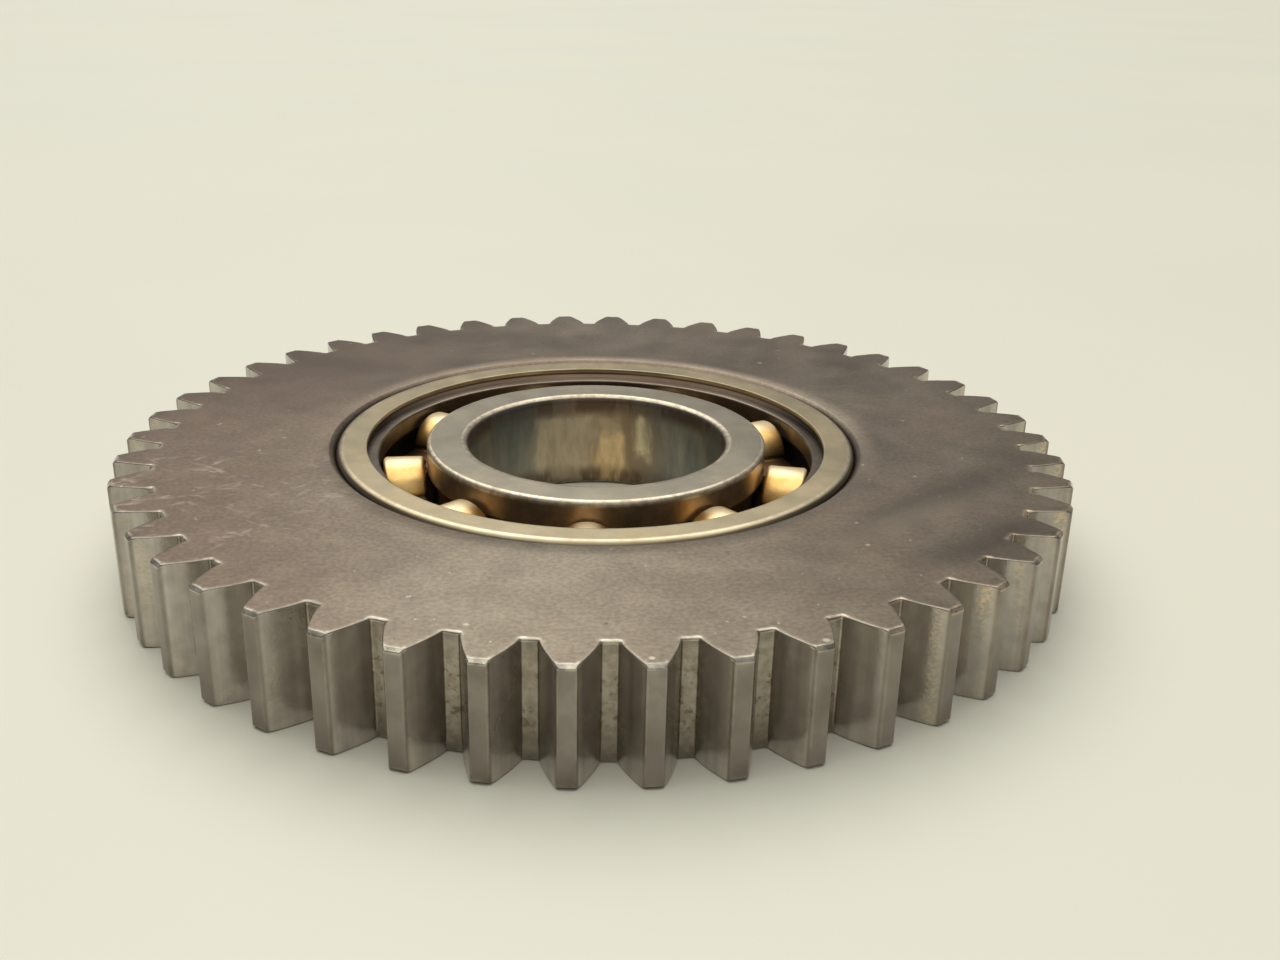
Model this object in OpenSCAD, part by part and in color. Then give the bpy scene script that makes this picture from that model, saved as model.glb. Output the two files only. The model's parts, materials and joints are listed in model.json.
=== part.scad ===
// Idler gear: a steel spur gear that runs on a single row ball bearing pressed into its bore.
// Millimetres, +Z along the axis. The bearing's lower face is at z = 0, and the axis passes through the origin.

/* [Gear] */
// Module, the pitch diameter divided by the number of teeth
gear_module = 3; // [2.5:0.25:4]
// Number of teeth
teeth = 46; // [40:1:60]
// Pressure angle of the involute flanks, in degrees
pressure_angle = 25; // [24:0.5:26]
// Height of a tooth above the cutter's middle line, in modules, as on short strong teeth
addendum = 0.8; // [0.7:0.05:0.9]
// Depth of a tooth below that line, in modules
dedendum = 1.1; // [1:0.05:1.2]
// Shift of that line outwards from the pitch circle, in modules, which thickens the teeth
profile_shift = 0.2; // [0.1:0.05:0.25]
// Radius of the fillet at the foot of each flank, in modules
root_fillet = 0.1; // [0.05:0.01:0.15]
// Thickness taken off each tooth so that it runs with backlash
backlash = 0.15; // [0:0.05:0.3]
// Width of the gear along its axis
face_width = 16; // [11:0.5:16]
// Chamfer turned on the rim, on both faces
rim_chamfer = 0.45; // [0.2:0.05:1.2]
// Chamfer on both ends of the gear's bore
bore_chamfer = 1; // [0.2:0.05:1.4]

/* [Bearing rings] */
// Bore of the inner ring, which takes the shaft
bearing_bore = 40; // [36:0.5:44]
// Outside diameter of the outer ring, and bore of the gear
bearing_od = 80; // [77:0.5:88]
// Width of both rings
bearing_width = 16; // [16:0.5:22]
// Corner radius of the rings where they meet the shaft and the gear
ring_corner = 1.1; // [0.5:0.1:1.5]
// Height of the shoulders above the bottom of the raceway
shoulder_height = 1.4; // [1:0.1:2]
// Raceway groove radius, as a multiple of the ball's diameter
race_conformity = 0.52; // [0.51:0.005:0.54]
// Room between a ball and the bottom of each raceway
race_clearance = 0.05; // [0.02:0.01:0.1]
// Depth of the step inside each face of the outer ring
recess_depth = 1.7; // [1:0.1:2]
// Width of that step, from the shoulder to its edge in the face
recess_width = 1.7; // [1:0.1:2.2]
// Depth of the seal groove cut into the wall of the step
seal_groove_depth = 0.6; // [0.3:0.1:1]
// Thickness of the lip that is left between the face and the seal groove
seal_lip = 0.5; // [0.3:0.1:0.8]
// Small chamfer on the inner ring's outer edges
land_chamfer = 0.6; // [0.1:0.1:0.9]

/* [Balls] */
// Diameter of a ball
ball_diameter = 10; // [9:0.5:11]
// Number of balls
ball_count = 9; // [7:1:10]
// Angle of the first ball from +X, in degrees
first_ball_angle = 26; // [0:1:39]

/* [Cage] */
// Thickness of the sheet that the cage halves are pressed from
cage_sheet = 0.8; // [0.6:0.1:1]
// Room between a ball and its pocket
pocket_clearance = 0.2; // [0.1:0.05:0.4]
// Room between the cage and the shoulders of both rings
cage_clearance = 0.6; // [0.3:0.1:1]
// Diameter of the rivet shanks
rivet_diameter = 2; // [1.6:0.1:2.4]
// Diameter of the rivet heads
rivet_head = 3.4; // [2.8:0.1:3.8]
// Height of the rivet heads
rivet_head_height = 0.8; // [0.5:0.1:1.2]

/* [Hidden] */
$fn = 96;

// The gear is level with the top of the bearing, and with its lower face too where both are as wide.
top = bearing_width;
gear_bottom = top - face_width;
half_width = bearing_width / 2;

// Circles of the gear
pitch_r = gear_module * teeth / 2;
tip_r = pitch_r + (addendum + profile_shift) * gear_module;
root_r = pitch_r - (dedendum - profile_shift) * gear_module;
base_r = pitch_r * cos(pressure_angle);
bore_r = bearing_od / 2;
tooth_angle = 360 / teeth;
tooth_thickness = gear_module * (PI / 2 + 2 * profile_shift * tan(pressure_angle)) - backlash;
half_tooth_angle = degrees(tooth_thickness / 2 / pitch_r);

// The flanks run past the tip circle, where the turned rim cuts them off.
flank_overrun = gear_module / 6;
flank_top_r = tip_r + flank_overrun;
flank_steps = 6;

// The fillet's centre lies on the flank's parallel curve, which is the same involute turned a little.
fillet_r = root_fillet * gear_module;
fillet_centre_r = root_r + fillet_r;
fillet_centre_angle = flank_angle(fillet_centre_r) + degrees(fillet_r / base_r);
fillet_centre = polar(fillet_centre_r, fillet_centre_angle);
flank_foot_r = norm([base_r, sqrt(fillet_centre_r ^ 2 - base_r ^ 2) - fillet_r]);
fillet_start = flank_angle(flank_foot_r) - acos(base_r / flank_foot_r) - 90;
fillet_end = fillet_centre_angle - 180;
fillet_steps = 4;

// Circles of the bearing
ball_r = ball_diameter / 2;
ball_circle_r = (bearing_bore + bearing_od) / 4;
ball_angle = 360 / ball_count;
groove_r = race_conformity * ball_diameter;
inner_race_r = ball_circle_r - ball_r - race_clearance;
outer_race_r = ball_circle_r + ball_r + race_clearance;
inner_shoulder_r = inner_race_r + shoulder_height;
outer_shoulder_r = outer_race_r - shoulder_height;
recess_r = outer_shoulder_r + recess_width;
corner_steps = 5;

// The cage's ribbon and its pockets
ribbon_inner_r = inner_shoulder_r + cage_clearance;
ribbon_outer_r = outer_shoulder_r - cage_clearance;
pocket_r = ball_r + pocket_clearance;
pocket_outer_r = pocket_r + cage_sheet;
rivet_head_r = rivet_head / 2;
rivet_dome_r = (rivet_head_r ^ 2 + rivet_head_height ^ 2) / (2 * rivet_head_height);

steel = [0.56, 0.51, 0.45];
ring_steel = [0.66, 0.63, 0.55];
brass = [0.83, 0.62, 0.28];
ball_steel = [0.78, 0.78, 0.76];

// Radians to degrees
function degrees(a) = a * 180 / PI;

// A point at a radius and an angle
function polar(r, a) = [r * cos(a), r * sin(a)];

// A point turned about the origin
function turned(p, a) = [p.x * cos(a) - p.y * sin(a), p.x * sin(a) + p.y * cos(a)];

// The involute function, in degrees
function involute(a) = degrees(tan(a)) - a;

// Half the angle that a tooth takes up at a radius
function flank_angle(r) = half_tooth_angle + involute(pressure_angle) - involute(acos(base_r / r));

// A round corner from one angle to another
function arc(centre, r, start, end) =
    [for (i = [0:corner_steps]) centre + polar(r, start + (end - start) * i / corner_steps)];

// One side of a tooth that points along +X: down the flank from the tip, then round the fillet
function tooth_side() = concat(
    [
        for (i = [0:flank_steps])
            let (r = flank_top_r + (flank_foot_r - flank_top_r) * i / flank_steps)
            polar(r, flank_angle(r))
    ],
    [
        for (i = [1:fillet_steps])
            fillet_centre + polar(fillet_r, fillet_start + (fillet_end - fillet_start) * i / fillet_steps)
    ]
);

// A whole tooth: the mirrored side from root to tip, then the side from tip to root
function tooth() =
    let (side = tooth_side(), last = len(side) - 1)
    concat([for (i = [0:last]) [side[last - i].x, -side[last - i].y]], side);

// The closed outline of all the teeth
function gear_outline() =
    let (one = tooth())
    [for (k = [0:teeth - 1]) for (p = one) turned(p, k * tooth_angle)];

// The turned blank: a ring with chamfers on its rim and its bore
module blank() {
    rotate_extrude()
        polygon([
            [bore_r, gear_bottom + bore_chamfer],
            [bore_r + bore_chamfer, gear_bottom],
            [tip_r - rim_chamfer, gear_bottom],
            [tip_r, gear_bottom + rim_chamfer],
            [tip_r, top - rim_chamfer],
            [tip_r - rim_chamfer, top],
            [bore_r + bore_chamfer, top],
            [bore_r, top - bore_chamfer]
        ]);
}

// The gear: the hobbed tooth form cut through the blank
module gear_wheel() {
    color(steel)
        intersection() {
            blank();
            translate([0, 0, gear_bottom])
                linear_extrude(height = face_width)
                    polygon(gear_outline());
        }
}

// One face of the outer ring, from the shoulder out to the corner, with heights from the middle plane
function outer_ring_edge() = concat(
    [
        [outer_shoulder_r, half_width - recess_depth],
        [recess_r + seal_groove_depth, half_width - recess_depth],
        [recess_r + seal_groove_depth, half_width - seal_lip - seal_groove_depth],
        [recess_r, half_width - seal_lip],
        [recess_r, half_width]
    ],
    arc([bore_r - ring_corner, half_width - ring_corner], ring_corner, 90, 0)
);

// One face of the inner ring, from the bore's corner out to the land, with heights from the middle plane
function inner_ring_edge() = concat(
    arc([bearing_bore / 2 + ring_corner, half_width - ring_corner], ring_corner, 180, 90),
    [
        [inner_shoulder_r - land_chamfer, half_width],
        [inner_shoulder_r, half_width - land_chamfer]
    ]
);

// A ring with the same edge on both faces, and a groove for the balls round its middle
module ring(edge, groove_centre_r) {
    last = len(edge) - 1;
    mirrored = [for (i = [0:last]) [edge[last - i].x, -edge[last - i].y]];
    difference() {
        rotate_extrude()
            polygon(concat(edge, mirrored));
        rotate_extrude()
            translate([groove_centre_r, 0])
                circle(r = groove_r);
    }
}

// The outer ring, with an empty seal groove in each face
module outer_ring() {
    color(ring_steel)
        translate([0, 0, half_width])
            ring(outer_ring_edge(), outer_race_r - groove_r);
}

// The inner ring, which takes the shaft
module inner_ring() {
    color(ring_steel)
        translate([0, 0, half_width])
            ring(inner_ring_edge(), inner_race_r + groove_r);
}

// Its children at every ball, or half a step on with offset_angle
module around(offset_angle = 0) {
    for (i = [0:ball_count - 1])
        rotate([0, 0, first_ball_angle + i * ball_angle + offset_angle])
            translate([ball_circle_r, 0, 0])
                children();
}

// The cage's ribbon, as high as its pockets, above the parting plane
module ribbon() {
    rotate_extrude()
        translate([ribbon_inner_r, 0])
            square([ribbon_outer_r - ribbon_inner_r, pocket_outer_r]);
}

// Half of the cage: flat webs with a round pocket pressed up over each ball
module cage_half() {
    difference() {
        intersection() {
            ribbon();
            union() {
                cylinder(r = bore_r, h = cage_sheet);
                around()
                    sphere(r = pocket_outer_r);
            }
        }
        around()
            sphere(r = pocket_r);
        around(ball_angle / 2)
            cylinder(d = rivet_diameter, h = 2 * cage_sheet, center = true);
    }
}

// The upper half of the cage
module cage_upper() {
    color(brass)
        translate([0, 0, half_width])
            cage_half();
}

// The lower half of the cage
module cage_lower() {
    color(brass)
        translate([0, 0, half_width])
            mirror([0, 0, 1])
                cage_half();
}

// A domed rivet head that sits on the plane z = 0
module rivet_dome() {
    intersection() {
        translate([0, 0, rivet_head_height - rivet_dome_r])
            sphere(r = rivet_dome_r);
        cylinder(r = rivet_head, h = rivet_head_height + cage_sheet);
    }
}

// One rivet, through both webs of the cage
module rivet() {
    cylinder(d = rivet_diameter, h = 2 * cage_sheet, center = true);
    translate([0, 0, cage_sheet])
        rivet_dome();
    mirror([0, 0, 1])
        translate([0, 0, cage_sheet])
            rivet_dome();
}

// All the rivets, one between each two pockets
module cage_rivets() {
    color(brass)
        translate([0, 0, half_width])
            around(ball_angle / 2)
                rivet();
}

// One ball, on the middle plane of the rings
module ball(number) {
    color(ball_steel)
        rotate([0, 0, first_ball_angle + (number - 1) * ball_angle])
            translate([ball_circle_r, 0, half_width])
                sphere(d = ball_diameter);
}

gear_wheel();
outer_ring();
inner_ring();
cage_upper();
cage_lower();
cage_rivets();
for (i = [1:ball_count])
    ball(i);
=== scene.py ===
"""Looks of the idler gear: a worn steel spur gear on an open ball bearing with a pressed brass cage.

Shapes are worked out in millimetres as whole arrays and put into meshes in metres, in the solids' frame.
"""

import json
import math

import bpy
import numpy as np
from mathutils import Matrix, Vector


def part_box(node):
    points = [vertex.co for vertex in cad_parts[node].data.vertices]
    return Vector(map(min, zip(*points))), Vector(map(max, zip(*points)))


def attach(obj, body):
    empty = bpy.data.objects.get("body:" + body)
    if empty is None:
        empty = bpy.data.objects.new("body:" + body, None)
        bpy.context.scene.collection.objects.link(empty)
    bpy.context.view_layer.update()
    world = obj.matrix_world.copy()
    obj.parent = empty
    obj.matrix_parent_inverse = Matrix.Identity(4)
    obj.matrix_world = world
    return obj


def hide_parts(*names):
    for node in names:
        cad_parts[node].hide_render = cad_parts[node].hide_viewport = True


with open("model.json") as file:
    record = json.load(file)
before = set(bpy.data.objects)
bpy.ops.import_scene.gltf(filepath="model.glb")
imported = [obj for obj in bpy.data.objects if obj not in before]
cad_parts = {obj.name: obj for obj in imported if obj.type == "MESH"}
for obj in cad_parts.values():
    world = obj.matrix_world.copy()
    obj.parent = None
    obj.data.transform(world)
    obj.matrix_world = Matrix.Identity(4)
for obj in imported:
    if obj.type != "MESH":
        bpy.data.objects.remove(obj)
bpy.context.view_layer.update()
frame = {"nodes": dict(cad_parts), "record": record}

MM = 0.001

# Gear teeth
TEETH = 46
MODULE = 3.0
PRESSURE_ANGLE = math.radians(25)
ADDENDUM = 0.8 * MODULE
DEDENDUM = 1.1 * MODULE
PROFILE_SHIFT = 0.2 * MODULE
ROOT_FILLET = 0.1 * MODULE
BACKLASH = 0.15
RIM_CHAMFER = 0.45
BORE_CHAMFER = 1.0
TIP_CORNER = 0.22
DEEPEST_INSET = 0.9
FACE_CIRCLES = (44.0, 54.0, 64.2)

# Breaks of the teeth's edges, how uneven they are, and how bright they are worn, partly as a painted
# highlight
ROOT_BREAK = 0.36
FLANK_BREAK = 0.16
TIP_BREAK = 0.2
LOWER_TIP_BREAK = 0.42
UNEVEN = 0.3
UNEVEN_RIGHT = 0.55
RIGHT_SIDE = (20, 45)
DENT_LENGTH = 3.0
UPPER_DENTS = 3
LOWER_DENTS = 4
TIP_WEAR_AND_HIGHLIGHT = 1.0
ROOT_WEAR = 0.85
FLANK_WEAR = 0.1
LOWER_WEAR = 0.2
CORNER_WEAR_AND_HIGHLIGHT = 0.15

# Bearing rings
RING_CORNER = 1.1
SHOULDER_HEIGHT = 1.4
RACE_CONFORMITY = 0.52
RACE_CLEARANCE = 0.05
RECESS_DEPTH = 1.7
RECESS_WIDTH = 1.7
SEAL_GROOVE_DEPTH = 0.6
SEAL_LIP = 0.5
LAND_CHAMFER = 0.6
HOLD = 0.25

# Cage
CAGE_SHEET = 0.8
POCKET_CLEARANCE = 0.2
CAGE_CLEARANCE = 0.6
POCKET_BEND = 0.8
SHEET_EDGE = 0.22
RIVET_DIAMETER = 2.0
RIVET_HEAD_HEIGHT = 0.8
RIVET_HEAD = 3.4

# Points along the parts of a shape, and sides of what is turned round an axis
TIP_POINTS = 3
CORNER_POINTS = 5
FLANK_POINTS = 8
FILLET_POINTS = 7
ROOT_POINTS = 3
EDGE_POINTS = 5
CURVE_POINTS = 4
RACE_POINTS = 25
POCKET_POINTS = 15
BEND_POINTS = 7
WEB_POINTS = 5
DOME_POINTS = 8
BALL_POINTS = 33
RING_SIDES = 288
RIVET_SIDES = 28
BALL_SIDES = 64


def box_mm(node):
    """A node's lowest and highest corners in millimetres."""
    low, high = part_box(node)
    return np.array(low) / MM, np.array(high) / MM


# Sizes that the solids give
BALLS = [f"ball_{i}" for i in range(1, len([n for n in frame["nodes"] if n.startswith("ball_")]) + 1)]
gear_low, gear_high = box_mm("gear_wheel")
outer_low, outer_high = box_mm("outer_ring")
ball_boxes = [box_mm(name) for name in BALLS]
ball_centres = np.array([(low + high) / 2 for low, high in ball_boxes])
bore_mount = next(m for m in frame["record"]["mounts"] if m["name"] == "shaft_bore")

GEAR_TOP = gear_high[2]
GEAR_BOTTOM = gear_low[2]
GEAR_BORE_R = outer_high[0]
HALF_WIDTH = (outer_high[2] - outer_low[2]) / 2
MIDDLE = (outer_high[2] + outer_low[2]) / 2
SHAFT_R = bore_mount["dims"]["r_mm"]
BALL_R = (ball_boxes[0][1][2] - ball_boxes[0][0][2]) / 2
BALL_CIRCLE_R = np.hypot(*ball_centres[0, :2])
FIRST_BALL = math.atan2(ball_centres[0, 1], ball_centres[0, 0])
BALL_STEP = 2 * math.pi / len(BALLS)

PITCH_R = MODULE * TEETH / 2
TIP_R = PITCH_R + ADDENDUM + PROFILE_SHIFT
ROOT_R = PITCH_R - DEDENDUM + PROFILE_SHIFT
BASE_R = PITCH_R * math.cos(PRESSURE_ANGLE)
TOOTH_THICKNESS = math.pi * MODULE / 2 + 2 * PROFILE_SHIFT * math.tan(PRESSURE_ANGLE) - BACKLASH
HALF_TOOTH = TOOTH_THICKNESS / 2 / PITCH_R
TOOTH_STEP = 2 * math.pi / TEETH

GROOVE_R = 2 * BALL_R * RACE_CONFORMITY
INNER_RACE_R = BALL_CIRCLE_R - BALL_R - RACE_CLEARANCE
OUTER_RACE_R = BALL_CIRCLE_R + BALL_R + RACE_CLEARANCE
INNER_SHOULDER_R = INNER_RACE_R + SHOULDER_HEIGHT
OUTER_SHOULDER_R = OUTER_RACE_R - SHOULDER_HEIGHT
RECESS_R = OUTER_SHOULDER_R + RECESS_WIDTH


# Mesh making

def grid_faces(rows, columns, wrap_rows=True):
    """Quads between neighbours on a grid whose columns close into a ring, and whose rows do too if asked."""
    r, c = np.meshgrid(np.arange(rows if wrap_rows else rows - 1), np.arange(columns), indexing="ij")
    next_r = (r + 1) % rows
    next_c = (c + 1) % columns
    corners = [r * columns + c, r * columns + next_c, next_r * columns + next_c, next_r * columns + c]
    return np.stack(corners, -1).reshape(-1, 4)


def outward(points, faces):
    """The quads, all turned over if the surface that they close has a negative volume."""
    a, b, c, d = np.moveaxis(points[faces], 1, 0)
    volume = np.einsum("ij,ij->", a, np.cross(b, c) + np.cross(c, d))
    return faces if volume > 0 else faces[:, ::-1]


def piece(name, points, faces, body, nodes, material, marks=None):
    """A smooth mesh of millimetre points that rides on a body, stands for nodes and carries point values."""
    mesh = bpy.data.meshes.new(name)
    mesh.from_pydata((points * MM).tolist(), [], faces)
    mesh.polygons.foreach_set("use_smooth", np.ones(len(mesh.polygons), bool))
    for mark, values in (marks or {}).items():
        layer = mesh.attributes.new(mark, "FLOAT", "POINT")
        layer.data.foreach_set("value", values.astype(np.float32).ravel())
    mesh.materials.append(material)
    made = bpy.data.objects.new(name, mesh)
    bpy.context.scene.collection.objects.link(made)
    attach(made, body)
    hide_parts(*nodes)


def closed_piece(name, grid, body, nodes, material, marks=None):
    """A piece whose grid of points closes into a ring both ways."""
    points = grid.reshape(-1, 3)
    faces = outward(points, grid_faces(*grid.shape[:2]))
    piece(name, points, faces.tolist(), body, nodes, material, marks)


def waves(x, seed, octaves=5):
    """Smooth values between about -1 and 1 along x: a sum of sines whose phases come from the seed."""
    draws = np.random.default_rng(seed)
    pitch = draws.uniform(0.7, 1.3, octaves) * 1.9 ** np.arange(octaves)
    phase = draws.uniform(0, 2 * math.pi, octaves)
    weight = 0.75 ** np.arange(octaves)
    return (weight * np.sin(x[..., None] * pitch + phase)).sum(-1) / weight.sum() * 1.6


def soften(corners):
    """A closed outline from corners (r, z, size), each cut back by its size along a quadratic curve.

    One more point close before each curve and one close after it keep the shading of the straight parts even.
    """
    corner = np.array(corners, float)
    place = corner[:, :2]
    size = corner[:, 2:]
    along = np.roll(place, -1, 0) - place
    length = np.linalg.norm(along, axis=1, keepdims=True)
    along = along / length
    back = np.roll(along, 1, 0)
    hold = np.minimum(HOLD, (length - size - np.roll(size, -1, 0)) / 4)
    start = place - back * size
    end = place + along * size
    t = np.linspace(0, 1, CURVE_POINTS)[None, :, None]
    curve = (1 - t) ** 2 * start[:, None] + 2 * t * (1 - t) * place[:, None] + t ** 2 * end[:, None]
    before = start - back * np.roll(hold, 1, 0)
    after = end + along * hold
    return np.concatenate([before[:, None], curve, after[:, None]], 1).reshape(-1, 2)


def revolved(profile, steps):
    """Points of a closed outline of (r, z) carried round the axis."""
    angle = np.arange(steps) * 2 * math.pi / steps
    r = profile[:, :1]
    z = np.broadcast_to(profile[:, 1:], (len(profile), steps))
    return np.stack([r * np.cos(angle), r * np.sin(angle), z], -1)


# Wear and painted dark reflections on the upper face, where the photograph shows it
RUB_AT = (-54, -24, 16)
RUB_REACH = (27, 25, 40)
SMEAR_AND_BAND_ANGLE = math.radians(38)
# Painted dark reflection bands across the right of the face: middle and reach in millimetres
DARK_REFLECTION_BANDS = [((47.5, -24.6, 16), (25, 6, 40)), ((50, -39.5, 16), (20, 6, 40))]
PALE_SMEAR_AT = (42, -32.5, 16)
PALE_SMEAR_REACH = (24, 5, 40)
RUB_STROKES = [(0.1, 0), (0.7, 9), (-0.5, 21)]
PALE_NICKS = [(24.3, -66.4, 16, 0.6), (4.4, -70.2, 16, 0.5), (31.1, 39.7, 16, 0.6), (34.4, -40.8, 16, 0.4)]
DARK_NICKS = [(48.3, -54.0, 16, 0.9), (27.1, -61.6, 15.8, 0.9), (26.7, -63.2, 15.4, 1.0)]


# Gear wheel

def involute(angle):
    """The involute function of a pressure angle."""
    return np.tan(angle) - angle


def flank_angle(r):
    """Half the angle that a tooth takes up at a radius."""
    return HALF_TOOTH + involute(PRESSURE_ANGLE) - involute(np.arccos(BASE_R / r))


def polar(r, angle):
    """Points at radii and angles."""
    return np.stack([r * np.cos(angle), r * np.sin(angle)], -1)


def tooth_half(inset):
    """Half of a tooth that points along +X, from the middle of its tip to the middle of the gap.

    The tip is an arc, its corner a quadratic curve, the flank an involute, and the foot a fillet whose
    centre lies on the flank's parallel curve. An inset draws every part in by the same distance: the arcs
    change their radius and the involute turns by the inset over the base radius.
    """
    centre_r = ROOT_R + ROOT_FILLET
    centre_angle = flank_angle(centre_r) + ROOT_FILLET / BASE_R
    tangent = math.sqrt(centre_r ** 2 - BASE_R ** 2) - ROOT_FILLET
    foot_r = math.hypot(BASE_R, tangent)
    start = flank_angle(foot_r) - math.acos(BASE_R / foot_r) - math.pi / 2
    end = centre_angle - math.pi

    tip_r = TIP_R - inset
    lean = inset / BASE_R
    cut = max(TIP_CORNER - inset, 0.04)
    land = flank_angle(tip_r) - lean - cut / tip_r
    tip = polar(tip_r, np.linspace(0, land, TIP_POINTS))
    corner = polar(tip_r, flank_angle(tip_r) - lean)
    flank_r = np.linspace(tip_r - cut, math.hypot(BASE_R, tangent - inset), FLANK_POINTS)
    flank = polar(flank_r, flank_angle(flank_r) - lean)
    t = np.linspace(0, 1, CORNER_POINTS)[1:-1, None]
    round_corner = (1 - t) ** 2 * tip[-1] + 2 * t * (1 - t) * corner + t ** 2 * flank[0]
    sweep = np.linspace(start, end, FILLET_POINTS)[1:]
    fillet = polar(centre_r, centre_angle) + polar(ROOT_FILLET + inset, sweep)
    root = polar(ROOT_R - inset, np.linspace(centre_angle, TOOTH_STEP / 2, ROOT_POINTS)[1:])
    return np.concatenate([tip, round_corner, flank, fillet, root])


def turned(points, angle):
    """Plane points turned about the origin."""
    c, s = math.cos(angle), math.sin(angle)
    return points @ np.array([[c, s], [-s, c]])


def gear_outline(inset):
    """The closed outline of all the teeth, drawn in by an inset."""
    half = tooth_half(inset)
    tooth = np.concatenate([half, turned(half[-2:0:-1] * [1, -1], TOOTH_STEP)])
    return np.concatenate([turned(tooth, i * TOOTH_STEP) for i in range(TEETH)])


def gear_half_rows(outline, inward, break_size, wear_and_highlight):
    """Rows of one half of the gear, from the middle of the bore over a face to the middle of the flanks.

    Each row has plane points and a depth under the face. The bore and face rows are circles, the next rows
    are the outline drawn in from the edge, and the last round the edge over and run down the flanks. The
    turned chamfer holds every row inside a cone at the rim. Two marks say how far a row is a flank and how
    far it is a worn edge, whose brightness is partly a painted highlight.
    """
    angle = np.arctan2(outline[:, 1], outline[:, 0])
    radius = np.linalg.norm(outline, axis=1)
    flat = np.zeros(len(angle))
    half_width = (GEAR_TOP - GEAR_BOTTOM) / 2
    circles = [
        (GEAR_BORE_R, half_width),
        (GEAR_BORE_R, BORE_CHAMFER + 0.08),
        (GEAR_BORE_R + 0.05, BORE_CHAMFER - 0.1),
        (GEAR_BORE_R + BORE_CHAMFER - 0.08, 0.07),
        (GEAR_BORE_R + BORE_CHAMFER + 0.1, 0.0),
    ]
    circles += [(r, 0.0) for r in FACE_CIRCLES]
    rows = [(polar(r + flat, angle), depth + flat, 0.0, 0.0) for r, depth in circles]

    near_tip = radius > TIP_R - 0.06
    tip_corner = (radius > TIP_R - TIP_CORNER - 0.02) & (radius < TIP_R - 0.005)
    face_wear_and_highlight = np.where(near_tip, wear_and_highlight, wear_and_highlight * 0.3)
    for past_break, past_chamfer, share in ((0.4, 0.45, 0.0), (0.12, 0.1, 1.0)):
        inset = np.maximum(break_size + past_break, RIM_CHAMFER + past_chamfer)
        rows.append((outline + inward * inset[:, None], flat, 0.0, face_wear_and_highlight * share))
    for share in np.linspace(0, 1, EDGE_POINTS):
        inset = break_size * (1 - math.sin(share * math.pi / 2))
        depth = break_size * (1 - math.cos(share * math.pi / 2))
        rows.append((outline + inward * inset[:, None], depth, share, wear_and_highlight))
    # The chamfer's lip and the tips' upright corners are marked as worn edges, brightened as a painted
    # highlight.
    lip = np.maximum(RIM_CHAMFER - 0.03, break_size + 0.1)
    for deeper, at_tip, elsewhere in ((-0.07, 1.0, 0.3), (0.0, 1.0, 0.0), (0.06, 0.9, 0.0), (0.3, 0.1, 0.0)):
        rows.append((outline, lip + deeper, 1.0, np.where(near_tip, at_tip, elsewhere) * wear_and_highlight))
    for depth in (1.4, half_width):
        rows.append((outline, depth + flat, 1.0, np.where(tip_corner, CORNER_WEAR_AND_HIGHLIGHT, 0.0)))

    plane = np.stack([row[0] for row in rows])
    depth = np.stack([row[1] for row in rows])
    limit = TIP_R - np.maximum(0, RIM_CHAMFER - depth)
    plane = plane * np.minimum(1, limit / np.linalg.norm(plane, axis=-1))[..., None]
    flank = np.stack([row[2] + flat for row in rows])
    edge = np.stack([row[3] + flat for row in rows])
    return plane, depth, flank, edge


def build_gear(material):
    """The gear: both halves joined into one closed surface, with worn edges of uneven roundness."""
    outline = gear_outline(0.0)
    inward = (gear_outline(DEEPEST_INSET) - outline) / DEEPEST_INSET
    run = np.cumsum(np.linalg.norm(outline - np.roll(outline, 1, 0), axis=1)) / DENT_LENGTH
    radius = np.linalg.norm(outline, axis=1)
    reach = [ROOT_R + 0.05, ROOT_R + 0.4, TIP_R - 0.5, TIP_R]
    upper_size = np.interp(radius, reach, [ROOT_BREAK, FLANK_BREAK, FLANK_BREAK, TIP_BREAK])
    lower_size = np.interp(radius, reach, [ROOT_BREAK, FLANK_BREAK, FLANK_BREAK, LOWER_TIP_BREAK])
    wear_and_highlight = np.interp(radius, reach, [ROOT_WEAR, FLANK_WEAR, FLANK_WEAR, TIP_WEAR_AND_HIGHLIGHT])
    uneven = np.interp(outline[:, 0], RIGHT_SIDE, [UNEVEN, UNEVEN_RIGHT])
    upper_break = upper_size * (1 + uneven * waves(run, UPPER_DENTS))
    lower_break = lower_size * (1 + UNEVEN * waves(run, LOWER_DENTS))
    upper = gear_half_rows(outline, inward, upper_break, wear_and_highlight)
    lower = gear_half_rows(outline, inward, lower_break, wear_and_highlight * LOWER_WEAR)
    plane_up, depth_up, flank_up, edge_up = upper
    plane_low, depth_low, flank_low, edge_low = [values[-2:0:-1] for values in lower]
    plane = np.concatenate([plane_up, plane_low])
    height = np.concatenate([GEAR_TOP - depth_up, GEAR_BOTTOM + depth_low])
    grid = np.concatenate([plane, height[..., None]], -1)
    marks = {
        "flank": np.concatenate([flank_up, flank_low]),
        "edge": np.concatenate([edge_up, edge_low]),
    }
    closed_piece("gear_body", grid, "gear", ["gear_wheel"], material, marks)


# Bearing rings

def race_arc(centre_r, shoulder_r, side):
    """The raceway from one shoulder to the other: an arc about centre_r, on the side that the sign gives."""
    reach = math.acos(abs(shoulder_r - centre_r) / GROOVE_R)
    sweep = np.linspace(-reach, reach, RACE_POINTS)
    return np.stack([centre_r + side * GROOVE_R * np.cos(sweep), GROOVE_R * np.sin(sweep)], -1)


def ring_points(upper_corners, arc):
    """A ring: its upper corners, their mirror image under the middle plane, and the raceway between."""
    upper = np.array(upper_corners)
    lower = upper[::-1] * [1, -1, 1]
    outline = soften([(*arc[-1], 0.0), *upper, *lower, (*arc[0], 0.0)])
    wall = outline[CURVE_POINTS + 1:-CURVE_POINTS - 1]
    profile = np.concatenate([wall, arc])
    return revolved(profile + [0, MIDDLE], RING_SIDES)


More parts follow.
